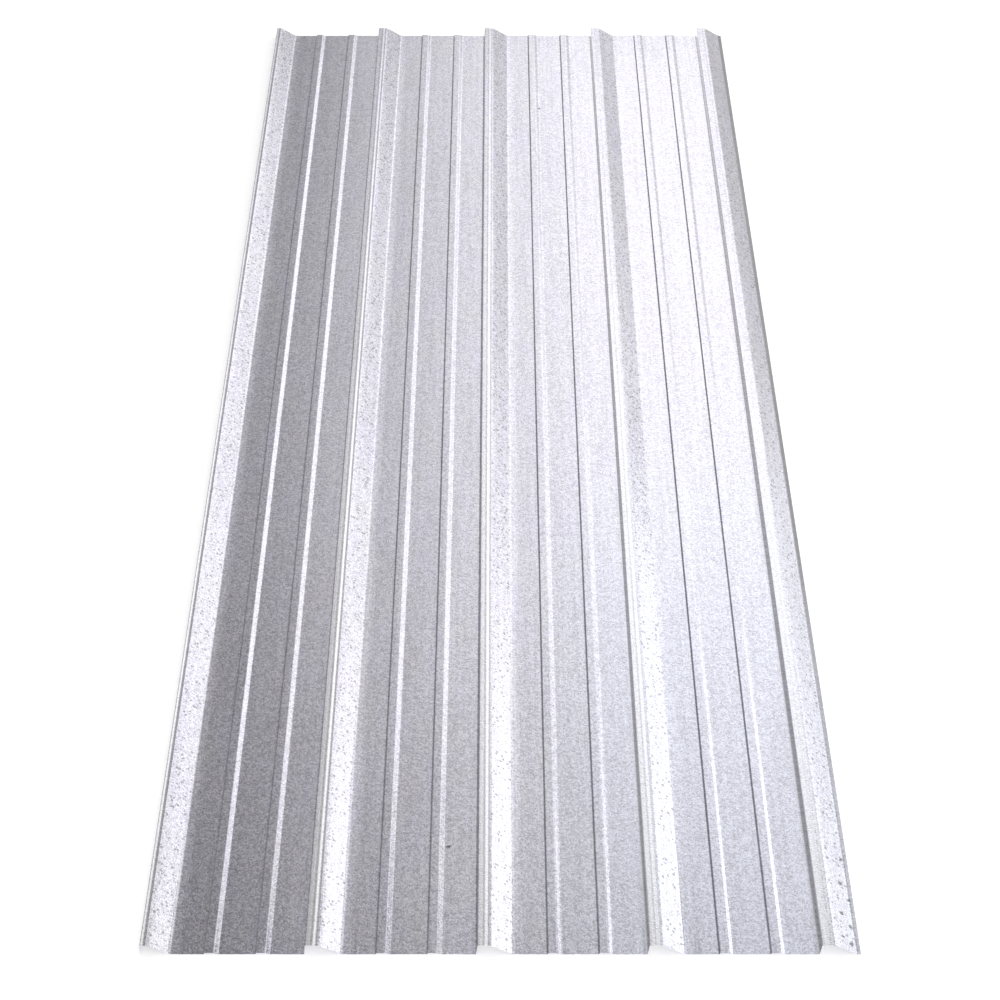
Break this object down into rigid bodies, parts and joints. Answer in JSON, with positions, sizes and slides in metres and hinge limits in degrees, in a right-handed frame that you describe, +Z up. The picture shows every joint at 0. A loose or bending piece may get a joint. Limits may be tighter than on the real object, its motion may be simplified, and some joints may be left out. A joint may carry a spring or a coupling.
{
  "type": "corrugated metal sheet",
  "caption": "Long flat sheet of galvanised steel with tall trapezoidal ribs, low stiffening ribs in the pans between them, and side edges shaped to overlap.",
  "frame": {"origin": "under the middle of the sheet, on the plane that its pans lie on", "axes": "+Y along the length and the ribs, +X across the width towards the edge with the narrow lip, +Z up, the way the ribs stand"},
  "size_m": [0.9586, 2.4384, 0.0194],
  "materials": {
    "galvanised_steel": "satin"
  },
  "bodies": {
    "root": {"ribbed_sheet": "galvanised_steel"}
  },
  "joints": []
}
